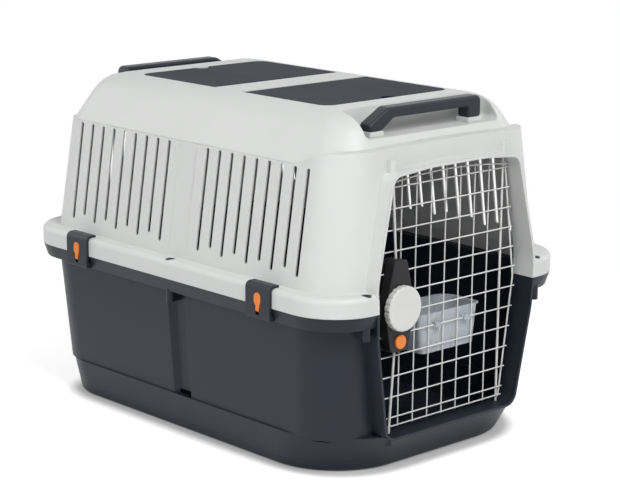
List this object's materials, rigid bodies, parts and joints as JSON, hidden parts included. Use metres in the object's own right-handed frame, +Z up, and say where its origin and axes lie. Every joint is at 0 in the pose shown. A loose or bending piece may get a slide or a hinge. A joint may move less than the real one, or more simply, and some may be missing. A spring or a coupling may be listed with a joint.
{
  "type": "pet carrier",
  "caption": "Two-shell plastic pet carrier with a wire door, rotary door lock, hung water bowl, roof trays under hinged lids, carrying handles and side latches.",
  "frame": {"origin": "middle of the footprint, on the ground", "axes": "+X right seen from the door, the door faces -Y, +Z up"},
  "size_m": [0.488, 0.68, 0.492],
  "materials": {
    "hood": "fine satin grain",
    "tub": "fine satin grain",
    "dark_trim": "satin",
    "steel": "zinc plated",
    "wire": "coated wire",
    "lock_case": "satin",
    "pale_trim": "satin",
    "orange_trim": "semi gloss",
    "bowl": "translucent"
  },
  "bodies": {
    "carrier": {"lower_shell": "tub", "upper_shell": "hood", "roof": "hood", "front_tray": "hood", "rear_tray": "hood", "front_handle": "dark_trim", "rear_handle": "dark_trim", "handle_screws": "steel", "front_lid_pin": "steel", "rear_lid_pin": "steel", "latch_pin_left_front": "steel", "latch_pin_left_rear": "steel", "latch_pin_right_front": "steel", "latch_pin_right_rear": "steel"},
    "door": {"door_grille": "wire", "door_hinge_rod": "wire", "lock_housing": "lock_case", "lock_back_plate": "lock_case", "lock_screws": "steel"},
    "knob": {"lock_knob": "pale_trim", "lock_crank": "lock_case", "knob_screw": "steel"},
    "upper_bolt": {"upper_lock_rod": "wire"},
    "lower_bolt": {"lower_lock_rod": "wire"},
    "button": {"lock_button": "orange_trim"},
    "bowl": {"water_bowl": "bowl"},
    "front_lid": {"front_lid": "dark_trim"},
    "rear_lid": {"rear_lid": "dark_trim"},
    "latch_left_front": {"latch_left_front": "dark_trim"},
    "slider_left_front": {"latch_slider_left_front": "orange_trim"},
    "latch_left_rear": {"latch_left_rear": "dark_trim"},
    "slider_left_rear": {"latch_slider_left_rear": "orange_trim"},
    "latch_right_front": {"latch_right_front": "dark_trim"},
    "slider_right_front": {"latch_slider_right_front": "orange_trim"},
    "latch_right_rear": {"latch_right_rear": "dark_trim"},
    "slider_right_rear": {"latch_slider_right_rear": "orange_trim"}
  },
  "joints": [
    {"name": "door_swing", "type": "hinge", "parent": "carrier", "child": "door", "pos_m": [0.1152, -0.3105, 0.233], "axis": [0, 0, 1], "range_deg": [0, 95]},
    {"name": "knob_turn", "type": "hinge", "parent": "door", "child": "knob", "pos_m": [-0.104, -0.33, 0.232], "axis": [0, -1, 0], "range_deg": [0, 90]},
    {"name": "upper_bolt_slide", "type": "slide", "parent": "door", "child": "upper_bolt", "axis": [-0.0698, 0, 0.9976], "range_m": [0, 0.00944]},
    {"name": "lower_bolt_slide", "type": "slide", "parent": "door", "child": "lower_bolt", "axis": [-0.0698, 0, -0.9976], "range_m": [0, 0.00944]},
    {"name": "lock_button_press", "type": "slide", "parent": "door", "child": "button", "axis": [0, 1, 0], "range_m": [0, 0.002], "stiffness_N_per_m": 400},
    {"name": "bowl_lift", "type": "slide", "parent": "door", "child": "bowl", "axis": [0, 0, 1], "range_m": [0, 0.012]},
    {"name": "front_lid_open", "type": "hinge", "parent": "carrier", "child": "front_lid", "pos_m": [0, -0.034, 0.484], "axis": [-1, 0, 0], "range_deg": [0, 95]},
    {"name": "rear_lid_open", "type": "hinge", "parent": "carrier", "child": "rear_lid", "pos_m": [0, 0.034, 0.484], "axis": [1, 0, 0], "range_deg": [0, 95]},
    {"name": "latch_left_front_open", "type": "hinge", "parent": "carrier", "child": "latch_left_front", "pos_m": [-0.231, -0.2, 0.2195], "axis": [0, -1, 0], "range_deg": [0, 90]},
    {"name": "slider_left_front_shift", "type": "slide", "parent": "latch_left_front", "child": "slider_left_front", "axis": [0, 0, -1], "range_m": [0, 0.005]},
    {"name": "latch_left_rear_open", "type": "hinge", "parent": "carrier", "child": "latch_left_rear", "pos_m": [-0.231, 0.2, 0.2195], "axis": [0, -1, 0], "range_deg": [0, 90]},
    {"name": "slider_left_rear_shift", "type": "slide", "parent": "latch_left_rear", "child": "slider_left_rear", "axis": [0, 0, -1], "range_m": [0, 0.005]},
    {"name": "latch_right_front_open", "type": "hinge", "parent": "carrier", "child": "latch_right_front", "pos_m": [0.231, -0.2, 0.2195], "axis": [0, 1, 0], "range_deg": [0, 90]},
    {"name": "slider_right_front_shift", "type": "slide", "parent": "latch_right_front", "child": "slider_right_front", "axis": [0, 0, -1], "range_m": [0, 0.005]},
    {"name": "latch_right_rear_open", "type": "hinge", "parent": "carrier", "child": "latch_right_rear", "pos_m": [0.231, 0.2, 0.2195], "axis": [0, 1, 0], "range_deg": [0, 90]},
    {"name": "slider_right_rear_shift", "type": "slide", "parent": "latch_right_rear", "child": "slider_right_rear", "axis": [0, 0, -1], "range_m": [0, 0.005]}
  ],
  "couplings": [
    {"joint": "upper_bolt_slide", "follows": "knob_turn", "m_per_rad": 0.0060106},
    {"joint": "lower_bolt_slide", "follows": "knob_turn", "m_per_rad": 0.0060106}
  ]
}
